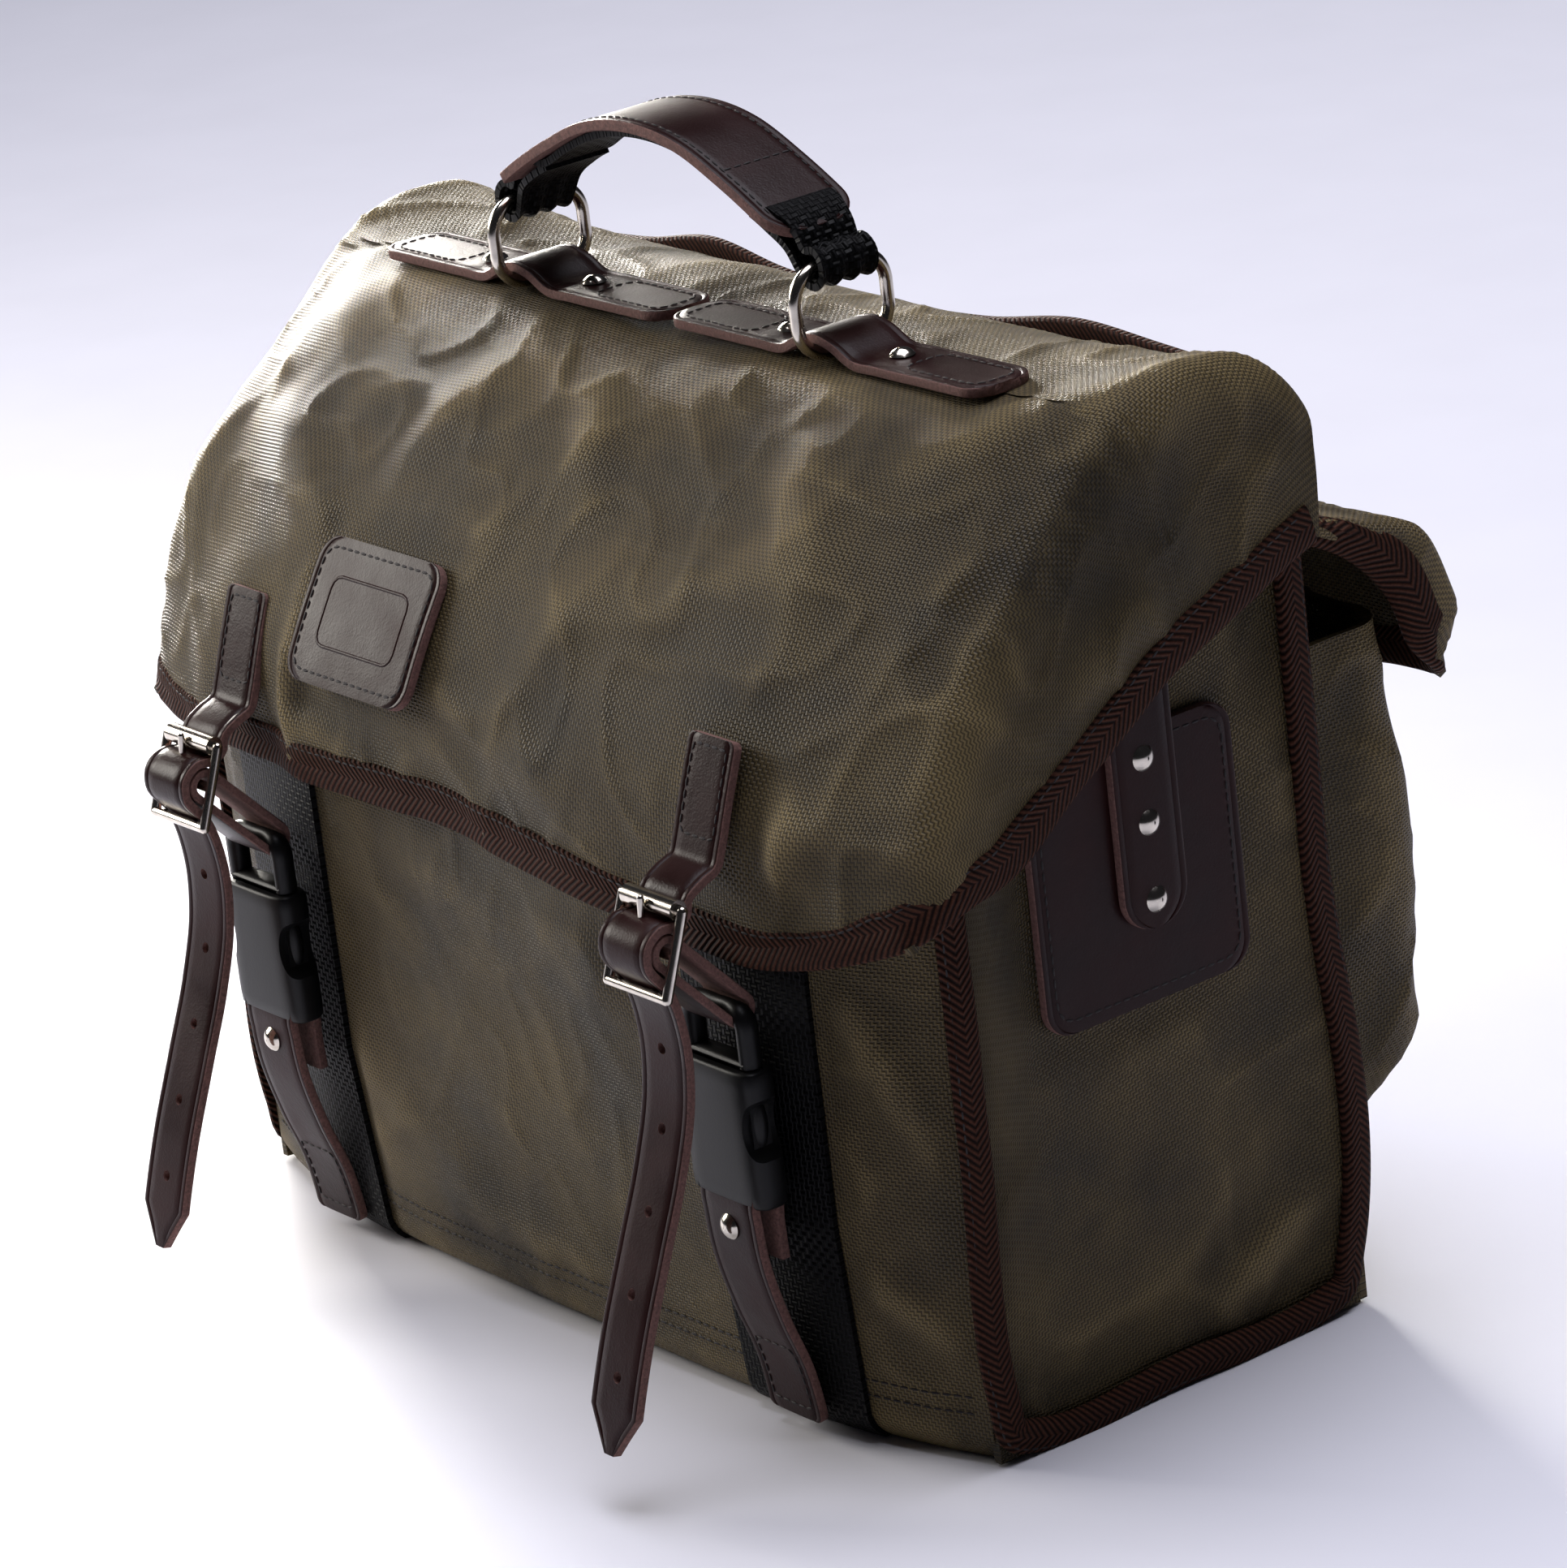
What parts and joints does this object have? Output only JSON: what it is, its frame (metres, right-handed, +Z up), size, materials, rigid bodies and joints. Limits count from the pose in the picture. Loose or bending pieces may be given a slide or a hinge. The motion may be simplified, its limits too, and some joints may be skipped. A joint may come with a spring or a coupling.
{
  "type": "motorcycle saddlebag",
  "caption": "Waxed canvas saddlebag with a hinged flap, two strap closures with side-release clips, a swinging leather handle and a flapped rear pocket.",
  "frame": {"origin": "middle of the flat base, on the surface the bag stands on", "axes": "+X along the bag's width to the right, front face towards -Y, +Z up"},
  "size_m": [0.398, 0.2962, 0.3623],
  "materials": {
    "waxed_canvas": "waxed olive-brown canvas, semi-matte",
    "binding_tape": "brown herringbone tape",
    "webbing": "black woven webbing",
    "strap_leather": "dark brown bridle leather, satin",
    "nickel": "polished nickel plate",
    "clip_plastic": "black moulded acetal",
    "stiffener_board": "black stiffening board"
  },
  "bodies": {
    "bag": {"front_base_panel": "waxed_canvas", "back_panel": "waxed_canvas", "left_gusset": "waxed_canvas", "right_gusset": "waxed_canvas", "left_gusset_binding": "binding_tape", "right_gusset_binding": "binding_tape", "rear_seam_binding": "binding_tape", "base_board": "stiffener_board", "back_board": "stiffener_board", "left_webbing": "webbing", "right_webbing": "webbing", "left_lower_strap": "strap_leather", "right_lower_strap": "strap_leather", "lower_strap_rivets": "nickel", "left_clip_socket": "clip_plastic", "right_clip_socket": "clip_plastic", "left_side_patch": "strap_leather", "right_side_patch": "strap_leather", "left_side_strap": "strap_leather", "right_side_strap": "strap_leather", "side_strap_rivets": "nickel", "rear_pocket": "waxed_canvas"},
    "flap": {"flap_canvas": "waxed_canvas", "flap_binding": "binding_tape", "badge": "strap_leather", "left_strap_tab": "strap_leather", "right_strap_tab": "strap_leather", "left_handle_anchor": "strap_leather", "right_handle_anchor": "strap_leather", "anchor_rivets": "nickel"},
    "pocket_flap": {"pocket_flap_canvas": "waxed_canvas", "pocket_flap_binding": "binding_tape"},
    "left_closure": {"left_strap_tail": "strap_leather", "left_buckle_frame": "nickel", "left_buckle_loop": "strap_leather"},
    "right_closure": {"right_strap_tail": "strap_leather", "right_buckle_frame": "nickel", "right_buckle_loop": "strap_leather"},
    "left_roller": {"left_buckle_roller": "nickel"},
    "right_roller": {"right_buckle_roller": "nickel"},
    "left_prong": {"left_buckle_prong": "nickel"},
    "right_prong": {"right_buckle_prong": "nickel"},
    "left_plug": {"left_clip_plug": "clip_plastic"},
    "right_plug": {"right_clip_plug": "clip_plastic"},
    "left_outer_arm": {"left_clip_outer_arm": "clip_plastic"},
    "left_inner_arm": {"left_clip_inner_arm": "clip_plastic"},
    "right_outer_arm": {"right_clip_outer_arm": "clip_plastic"},
    "right_inner_arm": {"right_clip_inner_arm": "clip_plastic"},
    "left_ring": {"left_handle_ring": "nickel"},
    "right_ring": {"right_handle_ring": "nickel"},
    "handle": {"handle_leather": "strap_leather", "handle_webbing": "webbing"}
  },
  "joints": [
    {"name": "flap_hinge", "type": "hinge", "parent": "bag", "child": "flap", "pos_m": [0, 0.072, 0.284], "axis": [-1, 0, 0], "range_deg": [0, 100]},
    {"name": "pocket_flap_hinge", "type": "hinge", "parent": "bag", "child": "pocket_flap", "pos_m": [0, 0.0752, 0.246], "axis": [1, 0, 0], "range_deg": [0, 60]},
    {"name": "left_strap_swing", "type": "hinge", "parent": "flap", "child": "left_closure", "pos_m": [-0.119, -0.1036, 0.186], "axis": [-1, 0, 0], "range_deg": [0, 50], "deforming": ["left_buckle_loop"]},
    {"name": "right_strap_swing", "type": "hinge", "parent": "flap", "child": "right_closure", "pos_m": [0.119, -0.1036, 0.186], "axis": [-1, 0, 0], "range_deg": [0, 50], "deforming": ["right_buckle_loop"]},
    {"name": "left_roller_spin", "type": "hinge", "parent": "left_closure", "child": "left_roller", "pos_m": [-0.119, -0.1215, 0.176], "axis": [1, 0, 0], "continuous": true},
    {"name": "right_roller_spin", "type": "hinge", "parent": "right_closure", "child": "right_roller", "pos_m": [0.119, -0.1215, 0.176], "axis": [1, 0, 0], "continuous": true},
    {"name": "left_prong_hinge", "type": "hinge", "parent": "left_closure", "child": "left_prong", "pos_m": [-0.119, -0.126, 0.164], "axis": [1, 0, 0], "range_deg": [0, 55]},
    {"name": "right_prong_hinge", "type": "hinge", "parent": "right_closure", "child": "right_prong", "pos_m": [0.119, -0.126, 0.164], "axis": [1, 0, 0], "range_deg": [0, 55]},
    {"name": "left_clip_release", "type": "slide", "parent": "bag", "child": "left_plug", "axis": [0, 0, 1], "range_m": [0, 0.014]},
    {"name": "right_clip_release", "type": "slide", "parent": "bag", "child": "right_plug", "axis": [0, 0, 1], "range_m": [0, 0.014]},
    {"name": "left_outer_arm_squeeze", "type": "slide", "parent": "left_plug", "child": "left_outer_arm", "axis": [1, 0, 0], "range_m": [0, 0.0025], "stiffness_N_per_m": 800},
    {"name": "left_inner_arm_squeeze", "type": "slide", "parent": "left_plug", "child": "left_inner_arm", "axis": [-1, 0, 0], "range_m": [0, 0.0025], "stiffness_N_per_m": 800},
    {"name": "right_outer_arm_squeeze", "type": "slide", "parent": "right_plug", "child": "right_outer_arm", "axis": [-1, 0, 0], "range_m": [0, 0.0025], "stiffness_N_per_m": 800},
    {"name": "right_inner_arm_squeeze", "type": "slide", "parent": "right_plug", "child": "right_inner_arm", "axis": [1, 0, 0], "range_m": [0, 0.0025], "stiffness_N_per_m": 800},
    {"name": "left_ring_swing", "type": "hinge", "parent": "flap", "child": "left_ring", "pos_m": [-0.075, 0.002, 0.3004], "axis": [0, 1, 0], "range_deg": [-40, 40]},
    {"name": "right_ring_swing", "type": "hinge", "parent": "flap", "child": "right_ring", "pos_m": [0.075, 0.002, 0.3004], "axis": [0, 1, 0], "range_deg": [-40, 40]},
    {"name": "handle_swing", "type": "hinge", "parent": "left_ring", "child": "handle", "pos_m": [-0.075, 0.002, 0.3264], "axis": [0, 1, 0], "range_deg": [-40, 40]}
  ],
  "couplings": [
    {"joint": "right_ring_swing", "follows": "left_ring_swing", "ratio": 1},
    {"joint": "handle_swing", "follows": "left_ring_swing", "ratio": -1},
    {"joint": "left_inner_arm_squeeze", "follows": "left_outer_arm_squeeze", "ratio": 1},
    {"joint": "right_inner_arm_squeeze", "follows": "right_outer_arm_squeeze", "ratio": 1}
  ]
}
